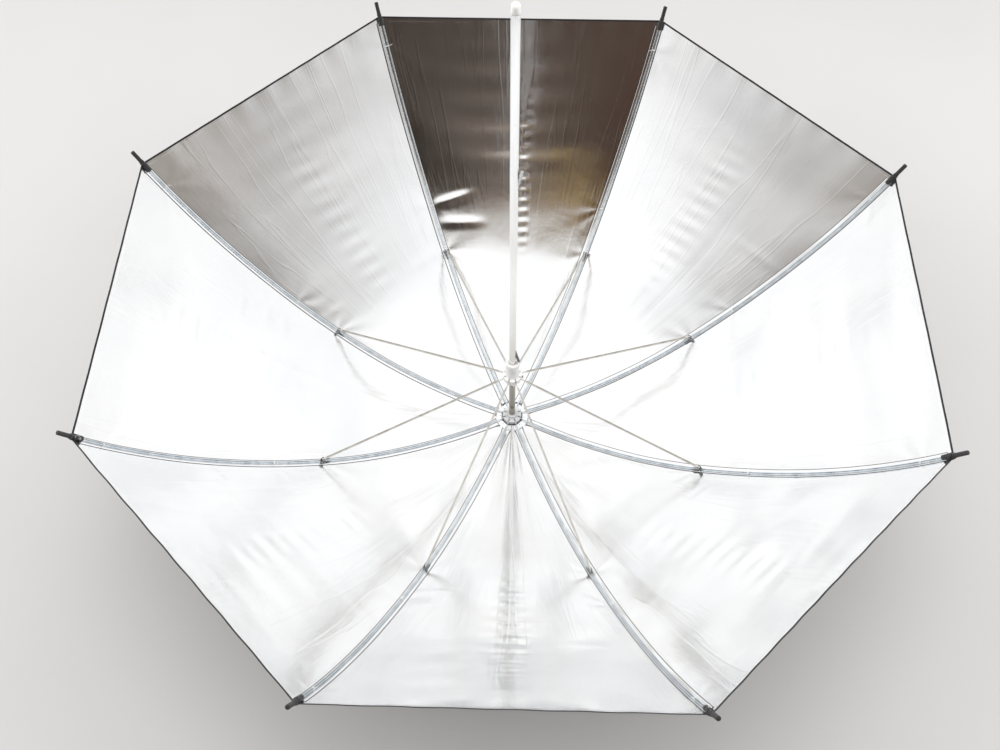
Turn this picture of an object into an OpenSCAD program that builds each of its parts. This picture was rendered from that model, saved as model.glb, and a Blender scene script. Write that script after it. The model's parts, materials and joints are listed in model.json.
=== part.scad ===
// Umbrella reflector: an eight-rib photographic umbrella, shown open.
// The shaft runs along Z. The canopy is a bowl that opens towards +Z, and the shaft's
// free end, which a lamp head's holder clamps, points to +Z.
// The origin is at the middle of the clamped stretch of the shaft.

/* [Canopy] */
// Radius of the open canopy, from the shaft's axis to a corner
canopy_r = 475; // [465:1:485]
// Height of the corners above the hub's ring
rim_h = 262; // [255:1:270]
// Number of ribs, and of gores
ribs = 8; // [8:1:8]
// Thickness of the cloth's solid
cloth_t = 0.6; // [0.5:0.1:0.8]
// Radius of the hole at the canopy's centre
crown_r = 15; // [14:0.5:18]

/* [Ribs] */
// Distance of the flexing point from the shaft's axis
flex_r = 246.5; // [240:0.5:252]
// Height of the flexing point above the hub's ring
flex_h = 45.5; // [42:0.5:48]
// Slope of the rib at the flexing point, in degrees
flex_slope = 29.5; // [27:0.5:31]
// Width of the rib's channel
rib_w = 2.6; // [2.4:0.1:2.8]
// Height of the rib's channel
rib_t = 2.2; // [2:0.1:2.4]
// Wall of the rib's channel
rib_wall = 0.4; // [0.3:0.05:0.5]

/* [Shaft] */
// Outer radius of the shaft's tube
shaft_r = 4; // [4:0.5:4]
// Wall of the shaft's tube
shaft_wall = 0.5; // [0.4:0.1:0.6]
// Length of the tube above the hub's ring
shaft_above = 646; // [640:1:670]
// Length of the stretch that a holder clamps
grip_len = 119; // [100:1:119]

/* [Hub and runner] */
// Radius of the ring on which the ribs and the stretchers turn
ring_r = 10; // [10:0.5:11]
// Width of the notches that hold the ribs and the stretchers
notch_w = 1.8; // [1.7:0.1:2]
// Radius of the ring's wire
wire_r = 0.5; // [0.4:0.05:0.55]

/* [Hidden] */
$fn = 64;

half = 180 / ribs;                       // half a gore's angle
function azimuth(i) = half + (i - 1) * 2 * half;

// heights, counted from the hub's ring and then moved to the row's frame
hub_z = -(shaft_above - grip_len / 2);
module at_hub() { translate([0, 0, hub_z]) children(); }
module at_rib(i) { at_hub() rotate([0, 0, azimuth(i)]) children(); }

// the rib's curve in its own plane: an arc from the ring to the flexing point, then an arc
// to the corner, with one slope where they meet. A slope is the angle above the horizontal.
ring_p = [ring_r, 0];
flex_p = [flex_r, flex_h];
rim_p = [canopy_r, rim_h];
function chord_slope(a, b) = atan2(b.y - a.y, b.x - a.x);
in_slope = 2 * chord_slope(ring_p, flex_p) - flex_slope;
rim_slope = 2 * chord_slope(flex_p, rim_p) - flex_slope;
function arc_r(a, b, s0, s1) = norm(b - a) / (2 * sin((s1 - s0) / 2));
in_arc = arc_r(ring_p, flex_p, in_slope, flex_slope);
out_arc = arc_r(flex_p, rim_p, flex_slope, rim_slope);
in_centre = ring_p + in_arc * [-sin(in_slope), cos(in_slope)];
out_centre = flex_p + out_arc * [-sin(flex_slope), cos(flex_slope)];
function on_arc(c, r, slope) = c + r * [sin(slope), -cos(slope)];
function along(slope) = [cos(slope), sin(slope)];
function outward(slope) = [sin(slope), -cos(slope)];

// the stretcher's eye hangs on the bracket, inside the curve of the rib
eye_off = 4.2;
eye_p = flex_p - eye_off * outward(flex_slope);
runner_z = 2 * eye_p.y;                  // the runner's ring, for equal links
link_l = norm(eye_p - ring_p);

pin_r = 0.8;
pin_gap = 0.1;
eye_out_r = 1.5;
eye_t = 1.2;
cheek_t = 0.5;
cheek_in = rib_w / 2;
lug_t = 2;
lug_r = 1.9;
neck_l = 8;
joint_gap = 2.7;
cloth_gap = 1.6;
split_gap = 0.3;

steel = [0.72, 0.75, 0.8];
dark = [0.12, 0.12, 0.13];
chrome = [0.88, 0.89, 0.92];
white_plastic = [0.93, 0.92, 0.9];
grey_plastic = [0.75, 0.75, 0.74];
silver_cloth = [0.86, 0.87, 0.88];

// puts a drawing of the rib's plane (radius, height) upright, as thick as t
module plate(t) { rotate([90, 0, 0]) linear_extrude(t, center = true) children(); }
module pin_at(p, r, l) { translate([p.x, 0, p.y]) rotate([90, 0, 0]) cylinder(h = l, r = r, center = true); }
module dot(p, r) { translate(p) circle(r); }
// a straight bar in the rib's plane
module bar(a, b, w) {
    translate(a) rotate(atan2(b.y - a.y, b.x - a.x)) translate([0, -w / 2]) square([norm(b - a), w]);
}
// sweeps a profile along an arc of the rib
module sweep(c, r, s0, s1) {
    translate([c.x, 0, c.y]) rotate([90, 0, 0]) rotate([0, 0, s0 - 90])
        rotate_extrude(angle = s1 - s0, $fn = 360) translate([r, 0]) children();
}
// a channel that is open on the inside of the rib's curve
module channel(w, t, wall) {
    polygon([[-t / 2, -w / 2], [t / 2, -w / 2], [t / 2, w / 2], [-t / 2, w / 2], [-t / 2, w / 2 - wall],
             [t / 2 - wall, w / 2 - wall], [t / 2 - wall, -w / 2 + wall], [-t / 2, -w / 2 + wall]]);
}

// the angle of arc that a length takes up
function turn(l, r) = l / r * 180 / PI;
neck_end = in_slope + turn(neck_l, in_arc);
in_end = flex_slope - turn(joint_gap, in_arc);
out_start = flex_slope + turn(joint_gap + 0.5, out_arc);
rib_past = 7;                            // how far the rib runs on into its tip
function near_flex(l) = flex_p + l * along(flex_slope);

module rib_in() {
    bracket_l = 8;
    color(steel) difference() {
        union() {
            sweep(in_centre, in_arc, in_slope + turn(neck_l - 1, in_arc), in_end) channel(rib_w, rib_t, rib_wall);
            plate(eye_t) {
                dot(ring_p, eye_out_r);
                bar(ring_p, on_arc(in_centre, in_arc, neck_end), rib_t - 0.4);
            }
            // the bracket's two cheeks hold the flexing pin and the stretcher's pin
            for (s = [-1, 1]) translate([0, s * (cheek_in + cheek_t / 2), 0]) plate(cheek_t) {
                dot(flex_p, 2);
                dot(eye_p, 1.8);
                bar(eye_p, flex_p, 3.6);
                bar(near_flex(-bracket_l), flex_p, 3);
            }
            pin_at(flex_p, pin_r, 2 * cheek_in + 2.4 * cheek_t);
            pin_at(eye_p, pin_r, 2 * cheek_in + 2.4 * cheek_t);
        }
        pin_at(ring_p, wire_r + 0.2, 2 * eye_t);
    }
}

module rib_out() {
    lug_end = near_flex(joint_gap + 1.5);
    color(steel) {
        difference() {
            union() {
                plate(lug_t) {
                    dot(flex_p, lug_r);
                    bar(flex_p, lug_end, rib_t - 0.2);
                }
                sweep(out_centre, out_arc, out_start, rim_slope + turn(rib_past, out_arc))
                    channel(rib_w, rib_t, rib_wall);
            }
            pin_at(flex_p, pin_r + pin_gap, 2 * lug_t);
        }
    }
}

// the stretcher runs from the bracket to the runner's notch
module stretcher() {
    w = 2.2;
    t = 1.6;
    wall = 0.35;
    end_p = [ring_r, runner_z];
    slope = atan2(end_p.y - eye_p.y, end_p.x - eye_p.x);
    far = eye_p + (link_l - neck_l) * along(slope);
    near = eye_p + 4 * along(slope);
    color([0.86, 0.86, 0.84]) difference() {
        union() {
            plate(1.6) {
                dot(eye_p, 1.5);
                bar(eye_p, near + 1 * along(slope), t);
            }
            plate(eye_t) {
                dot(end_p, eye_out_r);
                bar(far - 1 * along(slope), end_p, t);
            }
            translate([near.x, 0, near.y]) rotate([0, -slope, 0]) rotate([90, 0, 90])
                linear_extrude(norm(far - near)) difference() {
                    square([w, t], center = true);
                    translate([0, -wall]) square([w - 2 * wall, t], center = true);
                }
        }
        pin_at(eye_p, pin_r + pin_gap, 4);
    }
}

// the tip's sleeve grips the end of the rib inside the corner, and its pin stands outside it
module tip() {
    sleeve_l = 12;
    tip_sleeve_r = 2.3;
    pin_l = 18;
    pin_w = 2.4;
    socket_r = 1.9;
    socket_l = 7.6;
    round_r = 1;
    color(dark) translate([rim_p.x, 0, rim_p.y]) rotate([0, 90 - rim_slope, 0]) difference() {
        rotate_extrude() {
            translate([0, -sleeve_l]) square([tip_sleeve_r, sleeve_l + 0.5]);
            square([pin_w, pin_l - round_r]);
            square([pin_w - round_r, pin_l]);
            translate([pin_w - round_r, pin_l - round_r]) intersection() {
                circle(round_r);
                square(round_r);
            }
        }
        translate([0, 0, -sleeve_l - 1]) cylinder(h = sleeve_l + 1 + socket_l, r = socket_r);
    }
}

// half a gore on each side of a rib. In a gore's own plane of symmetry the cloth's outline is
// the rib's curve drawn in towards the axis, and straight threads cross from rib to rib.
module half_gores(c, r, s0, s1) {
    steps = 8;
    inner = rib_t / 2 + cloth_gap;
    slopes = [for (k = [0:steps]) s0 + (s1 - s0) * k / steps];
    low = [for (s = slopes) on_arc(c, r + inner, s)];
    high = [for (k = [steps:-1:0]) on_arc(c, r + inner + cloth_t, slopes[k])];
    outline = [for (p = concat(low, high)) [p.x * cos(half), p.y]];
    reach = 2 * canopy_r;
    mid_gap = split_gap / 2;
    color(silver_cloth) for (side = [-1, 1]) rotate([0, 0, side * half]) intersection() {
        rotate([90, 0, 0]) linear_extrude(reach, center = true) polygon(outline);
        translate([0, 0, -reach / 2]) linear_extrude(2 * reach) polygon([
            [mid_gap / tan(half), -side * mid_gap],
            [reach, -side * mid_gap],
            [reach, -side * reach * tan(half)]]);
    }
}
// the slope at which the offset curve reaches a radius
crown_slope = asin((crown_r - in_centre.x) / in_arc);
module canopy_in() {
    half_gores(in_centre, in_arc, crown_slope, flex_slope - turn(split_gap / 2, in_arc));
}
module canopy_out() {
    half_gores(out_centre, out_arc, flex_slope + turn(split_gap / 2, out_arc),
               rim_slope - turn(split_gap, out_arc));
}

// shaft
shaft_below = 20;
hub_half = 3.5;
hub_out_r = 12;
sleeve_r = 8.2;
runner_up = 31;
runner_down = 16;
catch_root = runner_z + runner_up + 29;  // height of the open catch's root
catch_len = 27;
catch_w = 3;
groove_w = 1;
closed_blunt = 462;                      // height of the closed catch's blunt end
stop_r = 1.2;
stop_z = runner_z - runner_down - stop_r - 0.2;

module slot_cut(z0, z1) {
    translate([0, -(catch_w + 0.5) / 2, z0]) cube([shaft_r + 1, catch_w + 0.5, z1 - z0]);
}
module shaft_tube() {
    color(chrome) at_hub() difference() {
        translate([0, 0, -shaft_below]) cylinder(h = shaft_above + shaft_below, r = shaft_r);
        translate([0, 0, -shaft_below - 1])
            cylinder(h = shaft_above + shaft_below + 2, r = shaft_r - shaft_wall);
        slot_cut(catch_root - catch_len - 1.5, catch_root + 1.5);
        slot_cut(closed_blunt - catch_len - 1.5, closed_blunt + 1.5);
        translate([0, 0, stop_z]) rotate([90, 0, 0]) cylinder(h = 12, r = stop_r, center = true);
        translate([0, 0, hub_pin_z]) rotate([0, 90, 0]) cylinder(h = 12, r = hub_pin_r, center = true);
        // the rolled groove marks where the clamped stretch starts
        translate([0, 0, shaft_above - grip_len - groove_w]) difference() {
            cylinder(h = groove_w, r = shaft_r + 1);
            translate([0, 0, -1]) cylinder(h = groove_w + 2, r = shaft_r - 0.25);
        }
    }
}
module end_cap() {
    cap_l = 9;
    color(white_plastic) at_hub() translate([0, 0, shaft_above]) {
        cylinder(h = cap_l - 1.5, r1 = shaft_r - 0.05, r2 = shaft_r - 0.3);
        translate([0, 0, cap_l - 1.5]) cylinder(h = 1.5, r1 = shaft_r - 0.3, r2 = shaft_r - 1.4);
        translate([0, 0, -14]) cylinder(h = 14, r = shaft_r - shaft_wall);
    }
}
module stop_pin() {
    color(dark) at_hub() translate([0, 0, stop_z]) rotate([90, 0, 0]) cylinder(h = 11, r = stop_r, center = true);
}

// a leaf catch: its curled root turns on Y, and its blunt end stands out of the shaft
module catch_leaf() {
    proud = 4.6;
    blunt = 2.2;
    root = [2.2, 0];
    root_r = 0.9;
    wire_hole = 0.45;
    color(dark) difference() {
        union() {
            pin_at(root, root_r, catch_w);
            plate(catch_w) polygon([[root.x - 0.6, 0], [root.x + 0.6, 0], [shaft_r + proud, -catch_len],
                                    [shaft_r + proud - blunt, -catch_len], [root.x - 0.6, -catch_len * 0.35]]);
        }
        pin_at(root, wire_hole, 2 * catch_w);
    }
}
module catch_open() { at_hub() translate([0, 0, catch_root]) catch_leaf(); }
module catch_closed() {
    at_hub() translate([0, 0, closed_blunt - catch_len]) mirror([0, 0, 1]) catch_leaf();
}

// a disc with a notch for each rib, on a wire ring
module notched(r, h) {
    difference() {
        cylinder(h = h, r = r, center = true);
        for (i = [1:ribs]) rotate([0, 0, azimuth(i)]) translate([sleeve_r - 0.4, -notch_w / 2, -h])
            cube([r, notch_w, 2 * h]);
    }
}
module wire_ring(r) { rotate_extrude($fn = 96) translate([ring_r, 0]) circle(r, $fn = 24); }
hub_pin_r = 1;
hub_pin_z = -9;
module hub() {
    color(grey_plastic) at_hub() difference() {
        union() {
            notched(hub_out_r, 2 * hub_half);
            translate([0, 0, hub_half - 0.5]) cylinder(h = 4.5, r = 7);
            translate([0, 0, -14]) cylinder(h = 14 - hub_half + 0.5, r = 7);
        }
        translate([0, 0, -20]) cylinder(h = 40, r = shaft_r + 0.02);
        wire_ring(wire_r);
        translate([0, 0, hub_pin_z]) rotate([0, 90, 0]) cylinder(h = 20, r = hub_pin_r, center = true);
    }
}
module hub_wire() { color(dark) at_hub() wire_ring(wire_r); }
module hub_pin() {
    color(steel) at_hub() translate([0, 0, hub_pin_z]) rotate([0, 90, 0])
        cylinder(h = 14.6, r = hub_pin_r, center = true);
}
ferrule_z = -15;
module rosette() {
    color(dark) at_hub() translate([0, 0, ferrule_z]) difference() {
        cylinder(h = 0.8, r = 19);
        translate([0, 0, -1]) cylinder(h = 3, r = shaft_r + 0.05);
    }
}
module ferrule() {
    tube_l = 24;
    color(dark) at_hub() translate([0, 0, ferrule_z]) rotate([180, 0, 0]) difference() {
        rotate_extrude() polygon([[0, 0], [9, 0], [9, 1.2], [6.2, 3.5], [5.4, 12], [5, tube_l - 1], [4, tube_l],
                                  [0, tube_l]]);
        translate([0, 0, -1]) cylinder(h = 1 + shaft_below + ferrule_z, r = shaft_r + 0.02);
    }
}

// a wide sleeve over a notched crown, with a narrow skirt down to the stop pin
module runner() {
    crown_out_r = 11.4;
    body_r = 8.3;
    skirt_r = 5.8;
    rim = 0.6;
    body_z = hub_half - 0.5;
    color(white_plastic) at_hub() translate([0, 0, runner_z]) difference() {
        union() {
            notched(crown_out_r, 2 * hub_half);
            translate([0, 0, -runner_down]) cylinder(h = runner_down, r = skirt_r);
            translate([0, 0, body_z]) cylinder(h = runner_up - body_z - rim, r = body_r);
            translate([0, 0, runner_up - rim]) cylinder(h = rim, r1 = body_r, r2 = body_r - rim);
        }
        translate([0, 0, -runner_down - 1])
            cylinder(h = runner_up + runner_down + 2, r = shaft_r + 0.1);
    }
}

shaft_tube();
end_cap();
stop_pin();
hub();
hub_wire();
hub_pin();
ferrule();
rosette();
catch_open();
catch_closed();
runner();
for (i = [1:ribs]) {
    at_rib(i) rib_in();
    at_rib(i) rib_out();
    at_rib(i) stretcher();
    at_rib(i) tip();
    at_rib(i) canopy_in();
    at_rib(i) canopy_out();
}
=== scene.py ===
"""Looks of the umbrella reflector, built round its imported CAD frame.

Every length is in metres, in the frame's own axes: +Z runs along the shaft to its free end.
Rib i stands at azimuth 22.5 + 45 (i - 1) degrees, and gore j is centred at 45 j degrees.
"""
import json
import math
import random

import bpy
import numpy as np
from mathutils import Matrix, Vector


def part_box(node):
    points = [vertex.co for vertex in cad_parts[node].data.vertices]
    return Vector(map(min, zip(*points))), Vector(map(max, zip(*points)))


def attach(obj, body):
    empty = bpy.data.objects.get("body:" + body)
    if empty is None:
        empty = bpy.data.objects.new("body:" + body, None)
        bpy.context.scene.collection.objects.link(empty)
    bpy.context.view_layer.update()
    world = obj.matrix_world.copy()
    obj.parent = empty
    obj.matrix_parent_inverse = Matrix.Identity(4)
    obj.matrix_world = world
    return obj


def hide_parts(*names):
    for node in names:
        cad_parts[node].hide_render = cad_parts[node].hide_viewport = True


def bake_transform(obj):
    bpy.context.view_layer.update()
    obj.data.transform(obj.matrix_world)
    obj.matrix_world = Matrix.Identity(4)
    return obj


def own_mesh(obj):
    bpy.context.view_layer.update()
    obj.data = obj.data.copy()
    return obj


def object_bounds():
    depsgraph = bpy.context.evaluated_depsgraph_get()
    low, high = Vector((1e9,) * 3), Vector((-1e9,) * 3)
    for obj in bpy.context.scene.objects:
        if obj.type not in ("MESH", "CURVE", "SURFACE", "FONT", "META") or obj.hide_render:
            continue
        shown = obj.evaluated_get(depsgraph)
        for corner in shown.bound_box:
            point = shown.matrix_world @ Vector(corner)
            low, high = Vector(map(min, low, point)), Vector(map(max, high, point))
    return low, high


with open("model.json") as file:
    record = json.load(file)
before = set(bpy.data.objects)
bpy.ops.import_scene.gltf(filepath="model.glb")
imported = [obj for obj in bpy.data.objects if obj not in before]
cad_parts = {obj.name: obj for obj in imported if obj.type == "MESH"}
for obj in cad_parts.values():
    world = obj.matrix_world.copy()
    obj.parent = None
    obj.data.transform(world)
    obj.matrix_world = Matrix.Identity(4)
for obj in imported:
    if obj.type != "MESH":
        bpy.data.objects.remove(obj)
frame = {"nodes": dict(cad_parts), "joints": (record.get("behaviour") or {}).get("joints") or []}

CAD_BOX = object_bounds()
MM = 0.001

# ---------------------------------------------------------------- places from the frame
RIBS = 8
HALF = math.pi / RIBS
JOINTS = {j["name"]: j for j in frame["joints"]}


def in_rib_plane(joint):
    """A joint's place as (distance from the shaft's axis, height)."""
    x, y, z = JOINTS[joint]["pos_m"]
    return np.array([math.hypot(x, y), z])


RING = in_rib_plane("rib_fold_1")
FLEX = in_rib_plane("rib_flex_1")
EYE = in_rib_plane("stretcher_turn_1")
HUB_Z = RING[1]
RUNNER_Z = HUB_Z + 2 * (EYE[1] - HUB_Z)
RIM = np.array([0.475, HUB_Z + 0.262])
FLEX_SLOPE = math.radians(29.5)
FLOOR_Z = CAD_BOX[0][2] - 0.5 * MM


# ---------------------------------------------------------------- the rib's curve
def chord_slope(a, b):
    return math.atan2(b[1] - a[1], b[0] - a[0])


class Arc:
    """A stretch of the rib: an arc that leaves point a at slope s0 and reaches b at s1."""

    def __init__(self, a, b, s0, s1):
        self.s0 = s0
        self.radius = math.dist(a, b) / (2 * math.sin((s1 - s0) / 2))
        self.centre = a + self.radius * np.array([-math.sin(s0), math.cos(s0)])
        self.length = self.radius * (s1 - s0)

    def at(self, along, off):
        slope = self.s0 + along / self.radius
        r = self.centre[0] + (self.radius + off) * np.sin(slope)
        z = self.centre[1] - (self.radius + off) * np.cos(slope)
        return r, z, slope


IN_ARC = Arc(RING, FLEX, 2 * chord_slope(RING, FLEX) - FLEX_SLOPE, FLEX_SLOPE)
OUT_ARC = Arc(FLEX, RIM, FLEX_SLOPE, 2 * chord_slope(FLEX, RIM) - FLEX_SLOPE)
S_FLEX = IN_ARC.length
S_RIM = S_FLEX + OUT_ARC.length


def rib_at(s, off=0.0):
    """(radius, height, slope) at length s along the rib, off to its outer side."""
    s = np.asarray(s, float)
    inner = IN_ARC.at(s, off)
    outer = OUT_ARC.at(s - S_FLEX, off)
    return tuple(np.where(s <= S_FLEX, a, b) for a, b in zip(inner, outer))


def azimuth(i):
    return HALF + (i - 1) * 2 * HALF


def spin(r, across, z, angle):
    """Turns (radial, tangential, height) in a plane at an azimuth into x, y, z."""
    c, s = math.cos(angle), math.sin(angle)
    return np.stack(np.broadcast_arrays(r * c - across * s, r * s + across * c, z), axis=-1)


def rib_point(i, s, across=0.0, off=0.0):
    r, z, _ = rib_at(s, off)
    return spin(r, across, z, azimuth(i))


# ---------------------------------------------------------------- mesh helpers
def new_mesh(name, verts, faces, materials, face_materials=None, smooth=True):
    mesh = bpy.data.meshes.new(name)
    mesh.from_pydata([tuple(v) for v in np.asarray(verts, float).tolist()], [], faces)
    for m in materials:
        mesh.materials.append(m)
    if face_materials is not None:
        mesh.polygons.foreach_set("material_index", face_materials)
    mesh.polygons.foreach_set("use_smooth", [smooth] * len(mesh.polygons))
    mesh.update()
    obj = bpy.data.objects.new(name, mesh)
    bpy.context.scene.collection.objects.link(obj)
    return obj


class Builder:
    """Collects islands of one mesh, each with its own material."""

    def __init__(self):
        self.verts = []
        self.faces = []
        self.slots = []

    def add(self, verts, faces, slot=0):
        base = len(self.verts)
        self.verts += [tuple(v) for v in np.asarray(verts, float).tolist()]
        self.faces += [tuple(base + k for k in f) for f in faces]
        self.slots += [slot] * len(faces)

    def tube(self, points, radius, sides=8, slot=0, closed=False):
        """A round thread or wire along points. radius may be one number or one for each point."""
        points = np.asarray(points, float)
        count = len(points)
        radius = np.broadcast_to(radius, (count,))
        if closed:
            tangent = np.roll(points, -1, 0) - np.roll(points, 1, 0)
        else:
            tangent = np.gradient(points, axis=0)
        tangent /= np.linalg.norm(tangent, axis=1, keepdims=True)
        side = np.cross(tangent[0], [0.31, 0.17, 0.93])
        rings = []
        for k in range(count):
            side = side - (side @ tangent[k]) * tangent[k]
            side /= np.linalg.norm(side)
            up = np.cross(tangent[k], side)
            for a in range(sides):
                angle = 2 * math.pi * a / sides
                rings.append(points[k] + radius[k] * (math.cos(angle) * side + math.sin(angle) * up))
        faces = grid_faces(count, sides, wrap_columns=True, wrap_rows=closed)
        if not closed:
            faces.append(tuple(range(sides))[::-1])
            faces.append(tuple((count - 1) * sides + a for a in range(sides)))
        self.add(rings, faces, slot)

    def prism(self, outline, place, thick, slot=0, bevel=0.12 * MM):
        """A plate with this outline, place(x, y, depth) in space, its edges chamfered."""
        outline = np.asarray(outline, float)
        inner = inset(outline, bevel)
        h = thick / 2
        layers = [(inner, -h), (outline, -h + bevel), (outline, h - bevel), (inner, h)]
        verts = [place(p[0], p[1], d) for ring, d in layers for p in ring]
        count = len(outline)
        faces = grid_faces(4, count, wrap_columns=True)
        faces.append(tuple(range(count))[::-1])
        faces.append(tuple(3 * count + k for k in range(count)))
        self.add(verts, faces, slot)

    def build(self, name, materials, smooth=True):
        return new_mesh(name, self.verts, self.faces, materials, self.slots, smooth)


def grid_faces(rows, columns, wrap_columns=False, wrap_rows=False):
    faces = []
    for i in range(rows if wrap_rows else rows - 1):
        for k in range(columns if wrap_columns else columns - 1):
            i2, k2 = (i + 1) % rows, (k + 1) % columns
            faces.append((i * columns + k, i * columns + k2, i2 * columns + k2, i2 * columns + k))
    return faces


def grid_edge(rows, columns):
    """The numbers of the points round a grid's edge, in order."""
    edge = list(range(columns))
    edge += [i * columns + columns - 1 for i in range(1, rows)]
    edge += [(rows - 1) * columns + k for k in range(columns - 2, -1, -1)]
    edge += [i * columns for i in range(rows - 2, 0, -1)]
    return edge


def inset(outline, distance):
    """The outline moved inwards, for a chamfer."""
    before = outline - np.roll(outline, 1, 0)
    after = np.roll(outline, -1, 0) - outline
    direction = before / np.linalg.norm(before, axis=1, keepdims=True)
    direction = direction + after / np.linalg.norm(after, axis=1, keepdims=True)
    direction /= np.linalg.norm(direction, axis=1, keepdims=True)
    x, y = outline.T
    turn = np.sign(np.sum(x * np.roll(y, -1) - np.roll(x, -1) * y))
    return outline + turn * distance * np.stack([-direction[:, 1], direction[:, 0]], axis=-1)


# ---------------------------------------------------------------- materials
class NodeMaker:
    """Short ways to add nodes to one node tree."""

    def __init__(self, tree):
        self.nodes = tree.nodes
        self.links = tree.links

    def node(self, kind, **settings):
        n = self.nodes.new(kind)
        for key, value in settings.items():
            if key in n.inputs:
                n.inputs[key].default_value = value
            else:
                setattr(n, key, value)
        return n

    def ramp(self, value, stops):
        r = self.node("ShaderNodeValToRGB")
        while len(r.color_ramp.elements) < len(stops):
            r.color_ramp.elements.new(0.5)
        for element, (place, color) in zip(r.color_ramp.elements, stops):
            element.position = place
            element.color = (*color, 1)
        self.links.new(value, r.inputs["Fac"])
        return r.outputs["Color"]

    def between(self, value, low, high, at_low=0.0, at_high=1.0):
        """Goes evenly from at_low to at_high as value goes from low to high."""
        ends = {"From Min": low, "From Max": high, "To Min": at_low, "To Max": at_high}
        n = self.node("ShaderNodeMapRange", **ends)
        self.links.new(value, n.inputs["Value"])
        return n.outputs["Result"]


class Shader(NodeMaker):
    """A Principled material with a few ways to vary it."""

    def __init__(self, name, color, roughness, metallic=0.0, **sockets):
        self.mat = bpy.data.materials.new(name)
        self.mat.use_nodes = True
        super().__init__(self.mat.node_tree)
        self.bsdf = self.nodes["Principled BSDF"]
        self.bsdf.inputs["Base Color"].default_value = (*color, 1)
        self.bsdf.inputs["Roughness"].default_value = roughness
        self.bsdf.inputs["Metallic"].default_value = metallic
        for socket, value in sockets.items():
            self.bsdf.inputs[socket.replace("_", " ")].default_value = value
        self.normal = None

    def coords(self, scale=(1, 1, 1), uv=None):
        mapping = self.node("ShaderNodeMapping")
        mapping.inputs["Scale"].default_value = scale
        if uv:
            source = self.node("ShaderNodeUVMap", uv_map=uv).outputs["UV"]
        else:
            source = self.node("ShaderNodeTexCoord").outputs["Object"]
        self.links.new(source, mapping.inputs["Vector"])
        return mapping.outputs["Vector"]

    def noise(self, scale, detail=3.0, stretch=(1, 1, 1), uv=None, distortion=0.0):
        n = self.node("ShaderNodeTexNoise", Scale=scale, Detail=detail, Distortion=distortion)
        self.links.new(self.coords(stretch, uv), n.inputs["Vector"])
        return n.outputs["Fac"]

    def vary_color(self, value, dark, light, low=0.35, high=0.65):
        self.links.new(self.ramp(value, [(low, dark), (high, light)]), self.bsdf.inputs["Base Color"])

    def vary_roughness(self, value, smooth, rough, low=0.3, high=0.7):
        self.links.new(self.between(value, low, high, smooth, rough), self.bsdf.inputs["Roughness"])

    def bump(self, height, distance):
        b = self.node("ShaderNodeBump", Strength=1.0, Distance=distance)
        self.links.new(height, b.inputs["Height"])
        if self.normal:
            self.links.new(self.normal, b.inputs["Normal"])
        self.normal = b.outputs["Normal"]
        self.links.new(self.normal, self.bsdf.inputs["Normal"])

    def weave(self, pitch, uv=None):
        """The height of a plain weave: threads over and under each other."""
        split = self.node("ShaderNodeSeparateXYZ")
        k = 2 * math.pi / pitch
        self.links.new(self.coords((k, k, k), uv), split.inputs["Vector"])
        waves = []
        for axis in ("X", "Y"):
            sine = self.node("ShaderNodeMath", operation="SINE")
            self.links.new(split.outputs[axis], sine.inputs[0])
            waves.append(sine.outputs[0])
        product = self.node("ShaderNodeMath", operation="MULTIPLY")
        self.links.new(waves[0], product.inputs[0])
        self.links.new(waves[1], product.inputs[1])
        return product.outputs[0]


FAN_UV = "fan"
CLOTH_UV = "cloth"


def crease_stops(place, width):
    """A ramp that turns a smooth noise into thin ridges where it passes one value."""
    flat, ridge = (0, 0, 0), (1, 1, 1)
    return [(0.0, flat), (place - width, flat), (place, ridge), (place + width, flat), (1.0, flat)]


def silver_cloth():
    """Metal-coated nylon: a soft mirror with a fine weave and creases that fan out from the hub."""
    s = Shader("silver_cloth", (0.95, 0.955, 0.96), 0.25, metallic=1.0)
    s.vary_color(s.noise(9, 4, (1, 1, 1), CLOTH_UV), (0.925, 0.93, 0.935), (0.965, 0.965, 0.965))
    s.vary_roughness(s.noise(26, 5, (1, 1, 1), CLOTH_UV, 0.4), 0.09, 0.15)
    wide_lines = s.ramp(s.noise(1.0, 2, (13, 2.8, 1), FAN_UV, 0.2), crease_stops(0.5, 0.022))
    s.bump(wide_lines, 0.04 * MM)
    fine_lines = s.ramp(s.noise(1.0, 2, (33, 3.5, 1), FAN_UV, 0.1), crease_stops(0.47, 0.022))
    s.bump(fine_lines, 0.009 * MM)
    s.bump(s.noise(1.0, 3, (22, 9, 1), FAN_UV, 0.35), 0.02 * MM)
    s.bump(s.noise(24, 4, (1, 1, 1), CLOTH_UV, 0.6), 0.18 * MM)
    s.bump(s.noise(620, 2, (1, 1, 1), CLOTH_UV), 0.022 * MM)
    s.bump(s.weave(0.55 * MM, CLOTH_UV), 0.003 * MM)
    return s.mat


def black_cloth():
    s = Shader("black_cloth", (0.012, 0.012, 0.013), 0.62, Sheen_Weight=0.25, Sheen_Roughness=0.4)
    s.vary_color(s.noise(14, 4, (1, 1, 1)), (0.008, 0.008, 0.009), (0.02, 0.02, 0.022))
    s.bump(s.noise(60, 4, (1, 1, 1)), 0.25 * MM)
    s.bump(s.weave(0.6 * MM), 0.03 * MM)
    return s.mat


def thread(name, color):
    s = Shader(name, color, 0.7, Sheen_Weight=0.4)
    s.bump(s.noise(2500, 2), 0.05 * MM)
    return s.mat


def steel(name, light, dark, roughness):
    """Drawn steel: fine lines along it and small darker stains."""
    s = Shader(name, light, roughness, metallic=1.0)
    s.vary_color(s.noise(120, 5), dark, light, 0.3, 0.6)
    s.vary_roughness(s.noise(60, 4), roughness * 0.8, roughness * 1.35)
    s.bump(s.noise(1.0, 3, (500, 500, 30)), 0.02 * MM)
    return s.mat


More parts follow.
